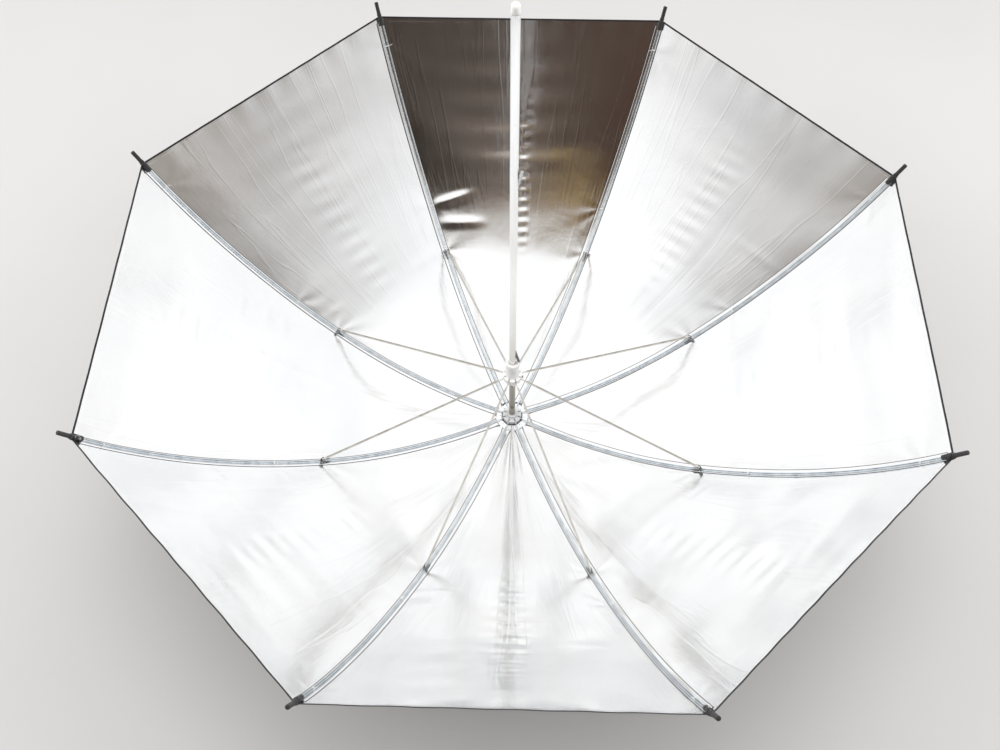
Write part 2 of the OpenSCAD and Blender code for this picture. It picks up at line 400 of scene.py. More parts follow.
def chrome():
    """The shaft's plating, with painted shade: dark from the hub up to the runner, then lighter towards its
    free end.
    """
    s = Shader("polished_tube", (0.86, 0.87, 0.885), 0.12, metallic=1.0)
    split = s.node("ShaderNodeSeparateXYZ")
    s.links.new(s.node("ShaderNodeTexCoord").outputs["Object"], split.inputs["Vector"])
    lightest_z = RUNNER_Z + 420 * MM
    # painted shade: the shaft is darkened from the hub up to the runner, in among the stretchers, and
    # lightens towards its free end
    base = s.ramp(s.between(split.outputs["Z"], HUB_Z, lightest_z), [
        (0.0, (0.3, 0.28, 0.24)), (0.17, (0.36, 0.34, 0.3)), (0.21, (0.74, 0.72, 0.68)),
        (0.5, (0.9, 0.895, 0.885)), (1.0, (0.97, 0.975, 0.98))])
    streaks = s.ramp(s.noise(45, 4, (1, 1, 0.12)), [(0.35, (0.86, 0.855, 0.84)), (0.62, (1, 1, 1))])
    product = s.node("ShaderNodeMix", data_type="RGBA", blend_type="MULTIPLY")
    product.inputs["Factor"].default_value = 1.0
    s.links.new(base, product.inputs["A"])
    s.links.new(streaks, product.inputs["B"])
    s.links.new(product.outputs["Result"], s.bsdf.inputs["Base Color"])
    s.vary_roughness(s.noise(40, 5, (1, 1, 0.1)), 0.07, 0.16)
    s.bump(s.noise(1.0, 2, (900, 900, 12)), 0.01 * MM)
    return s.mat


def plastic(name, color, roughness, through=0.0):
    """Moulded plastic with a faint grain. through lets light into it."""
    s = Shader(name, color, roughness, Subsurface_Weight=through, Subsurface_Scale=6 * MM,
               Subsurface_Radius=(1, 0.95, 0.85))
    tint = tuple(0.9 * c for c in color)
    s.vary_color(s.noise(80, 4), tint, color)
    s.vary_roughness(s.noise(140, 3), roughness * 0.85, roughness * 1.2)
    s.bump(s.noise(1500, 2), 0.03 * MM)
    return s.mat


SILVER = silver_cloth()
BLACK = black_cloth()
WHITE_THREAD = thread("white_thread", (0.82, 0.82, 0.8))
GREY_THREAD = thread("grey_thread", (0.45, 0.46, 0.48))
BLACK_THREAD = thread("black_thread", (0.02, 0.02, 0.022))
RIB_STEEL = steel("rib_steel", (0.8, 0.84, 0.87), (0.6, 0.65, 0.69), 0.16)
STRETCHER_STEEL = steel("stretcher_steel", (0.72, 0.7, 0.66), (0.56, 0.54, 0.5), 0.32)
DARK_STEEL = steel("dark_steel", (0.2, 0.2, 0.21), (0.07, 0.07, 0.075), 0.4)
PIN_STEEL = steel("pin_steel", (0.6, 0.61, 0.62), (0.4, 0.4, 0.41), 0.28)
SHAFT_CHROME = chrome()
WHITE_PLASTIC = plastic("white_plastic", (0.95, 0.93, 0.915), 0.34, 0.7)
GREY_PLASTIC = plastic("grey_plastic", (0.66, 0.66, 0.665), 0.36, 0.1)
BLACK_PLASTIC = plastic("black_plastic", (0.02, 0.02, 0.021), 0.4)
TIP_PLASTIC = plastic("tip_plastic", (0.03, 0.03, 0.032), 0.45)

# ---------------------------------------------------------------- the cloth's surface
CLOTH_OFF = 1.9 * MM            # from the rib's middle line to the cloth's silver face
CLOTH_THICK = 0.3 * MM
S_CROWN = 3.6 * MM
TIE_S = S_FLEX + 64 * MM        # the thread tie in the middle of the outer stretch
END_TIE_S = S_RIM - 38 * MM
SAG = 4.5 * MM
HEM_WIDTH = 6.5 * MM
HEM_BLACK = 2.2 * MM


class Creases:
    """The small folds of one gore, drawn at random from its own seed."""

    def __init__(self, gore):
        rng = random.Random(70 + gore)
        self.fan = [(rng.uniform(-0.88, 0.88), rng.uniform(0.03, 0.05), rng.uniform(-0.13, 0.2) * MM,
                     rng.uniform(150, 430) * MM) for _ in range(11)]
        self.ripple = (rng.uniform(20, 26) * MM, rng.uniform(0, 6.28), rng.uniform(0.17, 0.32) * MM,
                       rng.uniform(-9, 9) * MM, 17 * MM)
        self.bands = (rng.uniform(36, 48) * MM, rng.uniform(0, 6.28), rng.uniform(0.06, 0.2) * MM,
                      rng.uniform(-0.25, 0.25))
        self.slow = [(rng.uniform(90, 190) * MM, rng.uniform(-2.2, 2.2), rng.uniform(0, 6.28),
                      rng.uniform(0.12, 0.4) * MM) for _ in range(4)]
        self.hem = (rng.uniform(34, 58) * MM, rng.uniform(0, 6.28), rng.uniform(0.12, 0.3) * MM)
        self.ties = [(side, s, rng.uniform(0.2, 0.45) * MM, rng.uniform(0, 6.28), rng.choice((5, 6, 7)))
                     for side in (-1, 1) for s in (TIE_S, END_TIE_S, S_FLEX)]
        self.folds = [(rng.choice((-1, 1)), TIE_S + rng.uniform(-60, 90) * MM, rng.uniform(0.35, 0.8),
                       rng.uniform(-0.06, 0.06), rng.uniform(0.25, 0.5) * MM, rng.uniform(4, 8) * MM)
                      for _ in range(3)]


# the two folds that run in from the left rib of the gore behind the shaft:
# (side, length along the rib, how far in, lean, height, width)
BACK_GORE = 2
BACK_FOLDS = [(1, TIE_S, 0.62, 0.32, 1.3 * MM, 6 * MM), (1, TIE_S - 24 * MM, 0.7, 0.04, 0.9 * MM, 6 * MM)]
CREASES = {j: Creases(j) for j in range(1, RIBS + 1)}
CREASES[BACK_GORE].folds = BACK_FOLDS
CREASES[BACK_GORE].bands = (38 * MM, 1.2, 0.5 * MM, 0.1)
CREASES[BACK_GORE].ripple = (14.5 * MM, 0.5, 0.3 * MM, -8 * MM, 6 * MM)


def bell(x, width):
    return np.exp(-((x / width) ** 2))


def ease(x):
    x = np.clip(x, 0, 1)
    return x * x * (3 - 2 * x)


def crease_height(j, s, u, y, half_width):
    """How far the cloth of gore j stands in at length s, share u of the way across, y off its middle."""
    c = CREASES[j]
    h = np.zeros(np.broadcast(s, u).shape)
    for place, width, height, reach in c.fan:
        h += height * bell(u - place, width) * ease((s - 15 * MM) / (40 * MM)) * ease(1.6 - s / reach)
    pitch, phase, height, aside, width = c.ripple
    middle = ease((s - 230 * MM) / (60 * MM)) * ease((S_RIM - 60 * MM - s) / (60 * MM))
    h += height * np.cos(2 * math.pi * s / pitch + phase) * bell(y - aside, width) * middle
    pitch, phase, height, aside = c.bands
    outer = ease((s - 330 * MM) / (70 * MM)) * ease((S_RIM - 10 * MM - s) / (35 * MM))
    h += height * np.cos(2 * math.pi * s / pitch + phase + 0.8 * u) * bell(u - aside, 0.42) * outer
    for wave, lean, phase, height in c.slow:
        h += height * np.sin(2 * math.pi * (s / wave) + lean * u + phase) * ease(s / (120 * MM))
    pitch, phase, height = c.hem
    h += height * np.cos(2 * math.pi * y / pitch + phase) * np.exp(-(S_RIM - s) / (16 * MM))
    for side, tie_s, height, phase, count in c.ties:
        dy = half_width - side * y
        ds = s - tie_s
        reach = np.hypot(dy, ds) + 1e-9
        ray = np.cos(count * np.arctan2(ds, dy) + phase)
        h += height * ray * ease(reach / (10 * MM)) * np.exp(-reach / (24 * MM))
    for side, fold_s, reach, lean, height, width in c.folds:
        inward = 1 - side * u
        line = s - fold_s - lean * inward * half_width
        h += height * bell(line, width) * ease((reach - inward) / 0.35) * ease(inward / 0.06)
    return h * (1 - np.abs(u) ** 8)


def cloth_surface(j, s, u, lift=0.0):
    """(points, inward normals of the plain surface) of gore j, u from -1 at rib j to 1 at the next."""
    s, u = np.broadcast_arrays(np.asarray(s, float), np.asarray(u, float))
    r, z, slope = rib_at(s, CLOTH_OFF)
    rho = r * math.cos(HALF)
    half_width = r * math.sin(HALF)
    y = half_width * u
    tilt = np.arctan2(np.sin(slope), np.cos(slope) * math.cos(HALF))
    hang = SAG * (1 - u ** 2) * np.sin(math.pi * np.clip((s - S_CROWN) / (S_RIM - S_CROWN), 0, 1)) ** 1.2
    depth = hang + crease_height(j, s, u, y, half_width) + hem_height(s) + lift
    return spin(rho - depth * np.sin(tilt), y, z + depth * np.cos(tilt), 2 * HALF * j)


def hem_height(s):
    """The turned-in hem is thicker, with a line of stitches pulled into it."""
    back = S_RIM - s
    fold = 0.14 * MM * ease((HEM_WIDTH - back) / (0.9 * MM))
    stitch_line = 0.1 * MM * bell(back - 4.6 * MM, 0.6 * MM)
    rolled = 0.25 * MM * ease(1 - back / (1.2 * MM))
    return fold - stitch_line - rolled


def grid_normals(points):
    """Unit normals of a grid of points, on the silver side."""
    along = np.gradient(points, axis=0)
    across = np.gradient(points, axis=1)
    n = np.cross(along, across)
    n /= np.linalg.norm(n, axis=-1, keepdims=True)
    return n


S_CROWN_EDGE = S_CROWN + 1.1 * MM
ROWS_IN = np.concatenate([[S_CROWN], np.linspace(S_CROWN_EDGE, S_FLEX, 92)])
HEM_ROWS = S_RIM - np.array([8, 7, 6.4, 6, 5.6, 5.1, 4.6, 4.1, 3.4, 2.7, 2.25, 2.2, 1.2, 0.6, 0.2, 0]) * MM
ROWS_OUT = np.concatenate([np.linspace(S_FLEX, S_RIM - 10.5 * MM, 112), HEM_ROWS])
ROWS = np.concatenate([ROWS_IN[:-1], ROWS_OUT])
HALF_COLUMNS = 30
COLUMNS = np.linspace(-1, 1, 2 * HALF_COLUMNS + 1)
INNER_ROWS = slice(0, len(ROWS_IN))
OUTER_ROWS = slice(len(ROWS_IN) - 1, len(ROWS))


def sheet_mesh(name, points, normals, s, u, gore):
    """One closed thin piece of cloth: silver inside, black outside and round the hem."""
    rows, columns = points.shape[:2]
    count = rows * columns
    back = points - CLOTH_THICK * normals
    verts = np.concatenate([points.reshape(-1, 3), back.reshape(-1, 3)])
    front_faces = grid_faces(rows, columns)
    faces = [f[::-1] for f in front_faces]
    faces += [tuple(count + k for k in f) for f in front_faces]
    edge = grid_edge(rows, columns)
    walls = [(a, b, count + b, count + a) for a, b in zip(edge, edge[1:] + edge[:1])]
    faces += walls
    row_s = s[np.arange(len(front_faces)) // (columns - 1)]
    turned = (row_s >= S_RIM - HEM_BLACK - 1e-6) | (row_s < S_CROWN_EDGE - 1e-6)
    slots = np.concatenate([turned.astype(int), np.ones(len(front_faces) + len(walls), int)])
    obj = new_mesh(name, verts, faces, [SILVER, BLACK], slots.tolist())
    mesh = obj.data
    # shading follows the whole gore, so the joins between its pieces don't show
    flat = normals.reshape(-1, 3)
    loops = np.array([l.vertex_index for l in mesh.loops])
    face_of = np.repeat(np.arange(len(faces)), [len(f) for f in faces])
    custom = np.where((face_of < len(front_faces))[:, None], flat[loops % count], -flat[loops % count])
    wall_normals = np.array([p.normal[:] for p in mesh.polygons])[face_of]
    custom = np.where((face_of >= 2 * len(front_faces))[:, None], wall_normals, custom)
    mesh.normals_split_custom_set(custom.tolist())
    # one map for creases that fan out from the hub, and one in metres for the weave
    r, _, _ = rib_at(s)
    fan = np.stack(np.broadcast_arrays(gore + u[None, :] / 2, s[:, None]), axis=-1).reshape(-1, 2)
    cloth = np.stack(np.broadcast_arrays(gore * 0.5 + u[None, :] * (r * math.sin(HALF))[:, None], s[:, None]),
                     axis=-1).reshape(-1, 2)
    for layer_name, table in ((FAN_UV, fan), (CLOTH_UV, cloth)):
        layer = mesh.uv_layers.new(name=layer_name)
        layer.data.foreach_set("uv", table[loops % count].ravel())
    return obj


# how a half gore folds as the umbrella closes: its axis leans this far outwards
FOLD_LEAN_IN = math.radians(50)
FOLD_LEAN_OUT = math.radians(40)


def fold(obj, i, side, arc_ends, lean):
    """Works out a half gore's rib chord and directions, and gives it a mesh of its own."""
    (r0, z0, _), (r1, z1, _) = (rib_at(s) for s in arc_ends)
    chord = chord_slope((float(r0), float(z0)), (float(r1), float(z1)))
    across = spin(0.0, float(side), 0.0, azimuth(i))
    out = spin(math.sin(chord), 0.0, -math.cos(chord), azimuth(i))
    middle = rib_point(i, sum(arc_ends) / 2)
    ends = (rib_point(i, arc_ends[0]) + rib_point(i, arc_ends[1])) / 2
    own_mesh(obj)


def half_gore_area(s0, s1):
    """The flat area of half a gore between two lengths along the rib."""
    s = np.linspace(s0, s1, 60)
    r, _, _ = rib_at(s)
    half_width = r * math.sin(HALF)
    return float(np.sum((half_width[1:] + half_width[:-1]) / 2 * np.diff(s)))


def canopy():
    for j in range(1, RIBS + 1):
        points = cloth_surface(j, ROWS[:, None], COLUMNS[None, :])
        normals = grid_normals(points)
        for side, rib, columns in ((1, j, slice(0, HALF_COLUMNS + 1)),
                                   (-1, j % RIBS + 1, slice(HALF_COLUMNS, 2 * HALF_COLUMNS + 1))):
            mark = "b" if side > 0 else "a"
            for part, rows, lean in (("in", INNER_ROWS, FOLD_LEAN_IN), ("out", OUTER_ROWS, FOLD_LEAN_OUT)):
                s, u = ROWS[rows], COLUMNS[columns]
                name = f"cloth_{part}_{rib}_{mark}"
                obj = sheet_mesh(name, points[rows, columns], normals[rows, columns], s, u, j)
                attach(obj, f"rib_{rib}" if part == "in" else f"rib_end_{rib}")
                fold(obj, rib, side, (0.0, S_FLEX) if part == "in" else (S_FLEX, S_RIM), lean)
                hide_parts(f"canopy_{part}_{rib}")
                wide = float(rib_at(s[-1])[0]) * math.sin(HALF)
                half_gore_area(s[0], s[-1])


# ---------------------------------------------------------------- ribs, brackets and seams
BEND_START = 5 * MM
BEND_END = 5 * MM


def bend_at_bracket(obj, i):
    tuple(rib_point(i, S_FLEX - BEND_START))
    tuple(rib_point(i, S_FLEX + BEND_END))
    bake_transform(obj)


def channel_profile():
    """The rolled channel as (across, out) points: rounded back, lips turned in."""
    w, t, wall, lip = 1.3 * MM, 1.1 * MM, 0.35 * MM, 0.7 * MM
    corner = 0.55 * MM
    outer = [(w, -t), (w, t - corner)]
    outer += [(w - corner + corner * math.cos(a), t - corner + corner * math.sin(a))
              for a in (math.pi / 6, math.pi / 3, math.pi / 2)]
    inner_corner = corner - wall / 2
    inner = [(w - wall - inner_corner * (1 - math.cos(a)), t - wall - inner_corner * (1 - math.sin(a)))
             for a in (math.pi / 2, math.pi / 4, 0)]
    inner += [(w - wall, -t + wall), (w - lip, -t + wall), (w - lip, -t)]
    right = outer + [(0, t)]
    left = [(-x, y) for x, y in reversed(outer)]
    back = [(-x, y) for x, y in reversed(inner)] + [(0, t - wall)] + inner
    return np.array(right + left + back)


def rib(i):
    b = Builder()
    profile = channel_profile()
    neck = 7 * MM
    s_values = np.concatenate([np.linspace(neck, 16 * MM, 6), np.linspace(20 * MM, S_RIM + 6.5 * MM, 136)])
    verts = []
    for s in s_values:
        narrow = 0.5 + 0.5 * float(ease((s - neck) / (8 * MM)))
        low = 0.8 + 0.2 * float(ease((s - neck) / (8 * MM)))
        for across, out in profile:
            verts.append(rib_point(i, s, across * narrow, out * low))
    count = len(profile)
    faces = grid_faces(len(s_values), count, wrap_columns=True)
    faces.append(tuple(range(count))[::-1])
    faces.append(tuple((len(s_values) - 1) * count + k for k in range(count)))
    b.add(verts, faces)

    def place(x, y, depth):
        return spin(RING[0] + x, depth, RING[1] + y, azimuth(i))

    # the flattened tongue that hangs on the hub's wire
    slope = IN_ARC.s0
    c, d = math.cos(slope), math.sin(slope)
    eye_radius, end, half_high, thick = 1.5 * MM, 9.5 * MM, 0.8 * MM, 1.1 * MM
    tongue = []
    for k in range(17):
        a = slope + math.pi / 2 + math.pi * k / 16
        tongue.append((eye_radius * math.cos(a), eye_radius * math.sin(a)))
    for y in (-half_high, half_high):
        tongue.append((end * c - y * d, end * d + y * c))
    b.prism(tongue, place, thick)
    obj = b.build(f"rib_{i}_channel", [RIB_STEEL])
    obj.data.set_sharp_from_angle(angle=math.radians(40))
    bend_at_bracket(obj, i)
    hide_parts(f"rib_in_{i}", f"rib_out_{i}")


def capsule(a, b, ra, rb, steps=10):
    """The outline round two circles of different size."""
    a, b = np.asarray(a), np.asarray(b)
    angle = math.atan2(*(b - a)[::-1])
    out = [a + ra * np.array([math.cos(t), math.sin(t)])
           for t in np.linspace(angle + math.pi / 2, angle + 3 * math.pi / 2, steps)]
    out += [b + rb * np.array([math.cos(t), math.sin(t)])
            for t in np.linspace(angle - math.pi / 2, angle + math.pi / 2, steps)]
    return out


def rivet(b, p, i, half, radius, slot):
    """A pin along the rib's tangent with a domed head at each end."""
    head = [(0.42, 0.35), (0.36, 0.75), (0.2, 1.25), (0.0, 1.35)]
    steps = [(-half - y * MM, radius * share) for y, share in head]
    steps += [(half + y * MM, radius * share) for y, share in reversed(head)]
    sides = 20
    verts = []
    for y, r in steps:
        for k in range(sides):
            a = 2 * math.pi * k / sides
            verts.append(spin(p[0] + r * math.cos(a), y, p[1] + r * math.sin(a), azimuth(i)))
    faces = grid_faces(len(steps), sides, wrap_columns=True)
    faces.append(tuple(range(sides))[::-1])
    faces.append(tuple((len(steps) - 1) * sides + a for a in range(sides)))
    b.add(verts, faces, slot)


def bracket(i):
    """Two pressed cheeks clasp the rib and hold the stretcher's eye between them."""
    b = Builder()
    cheek_y = 1.62 * MM
    back = rib_at(S_FLEX - 9 * MM)
    for side in (-1, 1):
        def place(x, y, depth, side=side):
            return spin(x, side * cheek_y + depth, y, azimuth(i))
        b.prism(capsule((float(back[0]), float(back[1])), FLEX, 1.35 * MM, 1.9 * MM), place, 0.5 * MM)
        b.prism(capsule(EYE, FLEX, 1.75 * MM, 1.9 * MM), place, 0.56 * MM)
    rivet(b, FLEX, i, 1.9 * MM, 0.75 * MM, 1)
    rivet(b, EYE, i, 1.9 * MM, 0.75 * MM, 1)
    rivet(b, np.array([float(back[0]), float(back[1])]), i, 1.8 * MM, 0.5 * MM, 1)
    obj = b.build(f"bracket_{i}", [DARK_STEEL, PIN_STEEL], smooth=False)
    obj.data.shade_smooth()
    obj.data.set_sharp_from_angle(angle=math.radians(40))
    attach(obj, f"rib_{i}")


SEAM_START = 12 * MM


def seam_tape(i):
    """The seam allowance beside the rib: a folded strip of lining with the black cloth's edge under it."""
    b = Builder()
    s = SEAM_START + np.concatenate([np.array([0, 0.7, 1.5, 2.6, 4, 6, 8.5]) * MM,
                                     np.linspace(12 * MM, S_RIM - 7 * MM - SEAM_START, 146)])
    curl = np.exp(-((s - SEAM_START) / (3.5 * MM)) ** 2)
    half_width = rib_at(s, CLOTH_OFF)[0] * math.sin(HALF)
    for gore, end, width in ((i, -1, 6.2), ((i - 2) % RIBS + 1, 1, 3.4)):
        # the offsets from the rib, and how far the strip stands off the cloth, in mm
        strip = [(1.1, 0.25), (1.6, 0.75), (2.4, 0.6), (width - 0.7, 0.62), (width, 0.45), (width, 0.1)]
        edge = [(width - 0.1, 0.12), (width + 0.55, 0.3), (width + 0.75, 0.1)]
        for section, slot, flare in ((strip, 0, 0.0), (edge, 1, 0.9)):
            grid = []
            for y, lift in section:
                across = (y + flare * curl) * MM
                height = (lift + 1.3 * curl * y / width) * MM
                grid.append(cloth_surface(gore, s, end * (1 - across / half_width), height))
            faces = grid_faces(len(section), len(s))
            if end > 0:
                faces = [f[::-1] for f in faces]
            b.add(np.array(grid).reshape(-1, 3), faces, slot)
            if slot == 0:
                # the cut end shows the black cloth
                for k in range(len(section) - 1):
                    b.slots[-len(faces) + k * (len(s) - 1)] = 1
        stitches(b, gore, end, 2.6 * MM, 0.72 * MM, s[3], s[-1], 2)
    obj = b.build(f"seam_{i}", [SILVER, BLACK, GREY_THREAD])
    bend_at_bracket(obj, i)


def stitches(b, gore, end, y, lift, s0, s1, slot, pitch=4.2 * MM, length=2.7 * MM):
    """A line of short stitches beside a rib."""
    for k in range(int((s1 - s0) / pitch)):
        s = s0 + k * pitch + np.array([0, 0.25, 0.5, 0.75, 1]) * length
        r, _, _ = rib_at(s, CLOTH_OFF)
        u = end * (1 - y / (r * math.sin(HALF)))
        rise = lift + np.array([-0.15, 0.08, 0.12, 0.08, -0.15]) * MM
        b.tube(cloth_surface(gore, s, u, rise), np.array([0.1, 0.16, 0.17, 0.16, 0.1]) * MM, 5, slot)


def outer_seam(i):
    """The felled seam on the black side, over each rib."""
    s = np.linspace(S_CROWN + 3 * MM, S_RIM - 1 * MM, 150)
    r, _, _ = rib_at(s, CLOTH_OFF)
    half_width = r * math.sin(HALF)
    columns = [(-5.6, -0.36), (-5.4, -0.75), (-3, -0.8), (-0.6, -0.95), (0, -1.1), (0.6, -0.95), (3, -0.8),
               (5.4, -0.75), (5.6, -0.36)]
    grid = []
    for y, lift in columns:
        gore = i if y > 0 else (i - 2) % RIBS + 1
        end = -1 if y > 0 else 1
        u = end * (1 - np.minimum(abs(y) * MM / half_width, 0.5))
        grid.append(cloth_surface(gore, s, u, lift * MM))
    b = Builder()
    b.add(np.array(grid).reshape(-1, 3), [f[::-1] for f in grid_faces(len(columns), len(s))], 0)
    for y in (-4.4, 4.4):
        gore = i if y > 0 else (i - 2) % RIBS + 1
        stitches(b, gore, -1 if y > 0 else 1, 4.4 * MM, -0.85 * MM, s[8], s[-1], 1)
    obj = b.build(f"outer_seam_{i}", [BLACK, BLACK_THREAD])
    bend_at_bracket(obj, i)


def tie(i, k, s, body, turns=3, gauge=0.26 * MM):
    """A few turns of white thread round the rib, stitched through the cloth, with a knot."""
    b = Builder()
    steps = 22 * turns
    points = []
    for n in range(steps + 1):
        a = 2 * math.pi * n / 22
        along = (n / steps - 0.5) * turns * 2.1 * gauge
        points.append(rib_point(i, s + along, 1.75 * MM * math.sin(a), 0.25 * MM + 1.75 * MM * math.cos(a)))
    b.tube(points, gauge, 6)
    knot = []
    for a in np.linspace(0, 2 * math.pi, 26):
        along, aside = 0.5 * MM * math.sin(2.2 * a), 0.5 * MM * math.cos(1.7 * a)
        knot.append(rib_point(i, s + along, aside, -1.75 * MM - 0.25 * MM * math.sin(a)))
    b.tube(knot, gauge, 6)
    rng = random.Random(100 * i + k)
    for side in (-1, 1):
        length = rng.uniform(3, 7) * MM
        lean = rng.uniform(-0.8, 0.8)
        tail = [rib_point(i, s + lean * length * q, side * length * q, -(1.9 + 1.2 * math.sin(3.1 * q)) * MM)
                for q in np.linspace(0, 1, 9)]
        b.tube(tail, gauge * np.linspace(1, 0.6, 9), 5)
    obj = b.build(f"tie_{i}_{k}", [WHITE_THREAD])
    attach(obj, body)


RIM_SLOPE = OUT_ARC.s0 + OUT_ARC.length / OUT_ARC.radius


def tip_point(i, along, across=0.0, out=0.0):
    """A place in the tip's own axes: along it from the rib's corner, across, and to the outside."""
    r = RIM[0] + along * math.cos(RIM_SLOPE) + out * math.sin(RIM_SLOPE)
    z = RIM[1] + along * math.sin(RIM_SLOPE) - out * math.cos(RIM_SLOPE)
    return spin(r, across, z, azimuth(i))


CURLED_TIPS = (5, 7)            # tips with a loose, curled end of thread


def tip_dressing(i):
    """The cloth's corner is drawn over the tip's neck with a tab and bound with thread."""
    b = Builder()
    neck = 1.8 * MM
    for k in range(5):
        turn = [tip_point(i, neck + (k - 2) * 0.44 * MM + 0.12 * MM * math.sin(a), 2.62 * MM * math.cos(a),
                          2.62 * MM * math.sin(a)) for a in np.linspace(0, 2 * math.pi, 24, endpoint=False)]
        b.tube(turn, 0.28 * MM, 6, 1, closed=True)
    # the moulded collar reaches back along the rib, inside the corner
    back = np.array([-12, -12, -11.6, -7, -6.6, -6.2, -2, -0.4, 0, 0]) * MM
    wide = np.array([1.5, 2.5, 2.9, 2.9, 2.7, 3.1, 3.2, 3.2, 2.8, 2.2]) * MM
    b.tube([tip_point(i, q + 1e-6 * k, 0.0, -0.9 * MM) for k, q in enumerate(back)], wide, 20, 3)
    # the tab: a folded strip from the hem's corner along the tip's outside to the thread
    rows, columns = 14, 7
    lower = []
    for q in np.linspace(0, 1, rows):
        along = -5 * MM + q * (neck + 5 * MM)
        out = (2.75 + 0.5 * math.sin(math.pi * q) ** 0.6) * MM
        wide = (2.6 - 0.9 * q) * MM
        for c in np.linspace(-1, 1, columns):
            lower.append(tip_point(i, along, wide * c, out - 0.55 * MM * c * c))
    lower = np.array(lower)
    thick = 0.35 * MM
    upper = lower + thick * (tip_point(i, 0, 0, 1) - tip_point(i, 0, 0, 0))
    count = rows * columns
    faces = grid_faces(rows, columns)
    closed = [f[::-1] for f in faces] + [tuple(count + k for k in f) for f in faces]
    edge = grid_edge(rows, columns)
    closed += [(a, b2, count + b2, count + a) for a, b2 in zip(edge, edge[1:] + edge[:1])]
    b.add(np.concatenate([lower, upper]), closed, 0)
    if i in CURLED_TIPS:
        rng = random.Random(i)
        size = rng.uniform(2.2, 3.0) * MM
        curl = []
        for a in np.linspace(0, 4.4 * math.pi, 60):
            drift = a / (4.4 * math.pi)
            curl.append(tip_point(i, neck + 1.0 * MM - 9 * MM * drift + size * math.sin(a) * drift,
                                  size * math.cos(a) * drift + 3 * MM * drift, -2.0 * MM - 3 * MM * drift))
        b.tube(curl, 0.16 * MM, 5, 2)
    obj = b.build(f"tip_dressing_{i}", [BLACK, BLACK_THREAD, WHITE_THREAD, TIP_PLASTIC])
    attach(obj, f"rib_end_{i}")


# ---------------------------------------------------------------- hub, runner and shaft
def runner_ring():
    """The wire in the runner's crown, with its twisted ends, on which the stretchers turn."""
    b = Builder()
    turn = np.linspace(0, 2 * math.pi, 96, endpoint=False)
    ring = [(RING[0] * math.cos(a), RING[0] * math.sin(a), RUNNER_Z) for a in turn]
    b.tube(ring, 0.45 * MM, 10, closed=True)
    out, coil, down = 12.4 * MM, 0.5 * MM, 4.5 * MM
    for phase in (0, math.pi):
        twist = [(out + coil * math.cos(phase + 9 * q), coil * math.sin(phase + 9 * q), RUNNER_Z - down * q)
                 for q in np.linspace(0, 1, 24)]
        b.tube(twist, 0.36 * MM, 6)
    obj = b.build("runner_ring", [DARK_STEEL])
    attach(obj, "runner")


def crown_ruffle():
    """The cloth's centre is gathered under the hub, and its folded corners show between the ribs."""
    around, rows, black_rows = 192, 12, 2
    verts = []
    for k in range(rows):
        q = k / (rows - 1)
        for a in range(around):
            angle = 2 * math.pi * a / around
            corner = 0.5 + 0.5 * math.cos(RIBS * (angle - HALF * 2))
            wave = math.sin(24 * angle + 3 * q) * (0.25 + 0.45 * q) * MM
            r = (7.4 + (6.6 + 1.6 * corner) * q) * MM
            z = HUB_Z + (-4.2 - 0.3 * math.sin(math.pi * q) + 1.3 * q * q * corner) * MM + wave
            verts.append((r * math.cos(angle), r * math.sin(angle), z))
    top = np.array(verts)
    bottom = top - np.array([0, 0, 0.3 * MM])
    count = rows * around
    upper = grid_faces(rows, around, wrap_columns=True)
    faces = list(upper) + [tuple(count + k for k in f[::-1]) for f in upper]
    for base in (0, (rows - 1) * around):
        for a in range(around):
            a2 = (a + 1) % around
            quad = (base + a, base + a2, count + base + a2, count + base + a)
            faces.append(quad[::-1] if base == 0 else quad)
    silver = (rows - 1 - black_rows) * around
    slots = [0] * silver + [1] * (len(faces) - silver)
    faces = [f[::-1] for f in faces]
    obj = new_mesh("crown_ruffle", np.concatenate([top, bottom]), faces, [SILVER, BLACK], slots)
    for layer_name in (FAN_UV, CLOTH_UV):
        layer = obj.data.uv_layers.new(name=layer_name)
        for loop, uv in zip(obj.data.loops, layer.data):
            x, y, _ = obj.data.vertices[loop.vertex_index].co
            uv.uv = (x, y)
    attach(obj, "shaft")


def rosette():
    """A pleated disc of black cloth between the canopy's centre and the ferrule."""
    low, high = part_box("rosette")
    outer = high[0] - 0.3 * MM
    inner = 5.2 * MM
    middle = (low[2] + high[2]) / 2
    around, rows, pleats = 288, 12, 36
    verts = []
    for k in range(rows):
        q = k / (rows - 1)
        for a in range(around):
            angle = 2 * math.pi * a / around
            saw = abs((a * pleats / around) % 1 - 0.5) * 2
            z = middle + (saw - 0.5) * 0.9 * MM * q - 0.2 * MM * q
            r = inner + (outer - inner) * q * (1 - 0.02 * (1 - saw))
            verts.append((r * math.cos(angle), r * math.sin(angle), z))
    top = np.array(verts) + np.array([0, 0, 0.2 * MM])
    bottom = np.array(verts) - np.array([0, 0, 0.2 * MM])
    count = rows * around
    upper = grid_faces(rows, around, wrap_columns=True)
    faces = [f[::-1] for f in upper] + [tuple(count + k for k in f) for f in upper]
    for base in (0, (rows - 1) * around):
        for a in range(around):
            a2 = (a + 1) % around
            quad = (base + a, base + a2, count + base + a2, count + base + a)
            faces.append(quad if base == 0 else quad[::-1])
    obj = new_mesh("rosette_cloth", np.concatenate([top, bottom]), faces, [BLACK])
    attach(obj, "shaft")
    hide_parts("rosette")


CAD_FINISHES = {
    "shaft_tube": SHAFT_CHROME, "end_cap": WHITE_PLASTIC, "stop_pin": DARK_STEEL, "hub": GREY_PLASTIC,
    "hub_wire": DARK_STEEL, "hub_pin": PIN_STEEL, "ferrule": BLACK_PLASTIC, "catch_open": DARK_STEEL,
    "catch_closed": PIN_STEEL, "runner": WHITE_PLASTIC}
CAD_FINISHES |= {f"stretcher_{i}": STRETCHER_STEEL for i in range(1, RIBS + 1)}
CAD_FINISHES |= {f"tip_{i}": TIP_PLASTIC for i in range(1, RIBS + 1)}


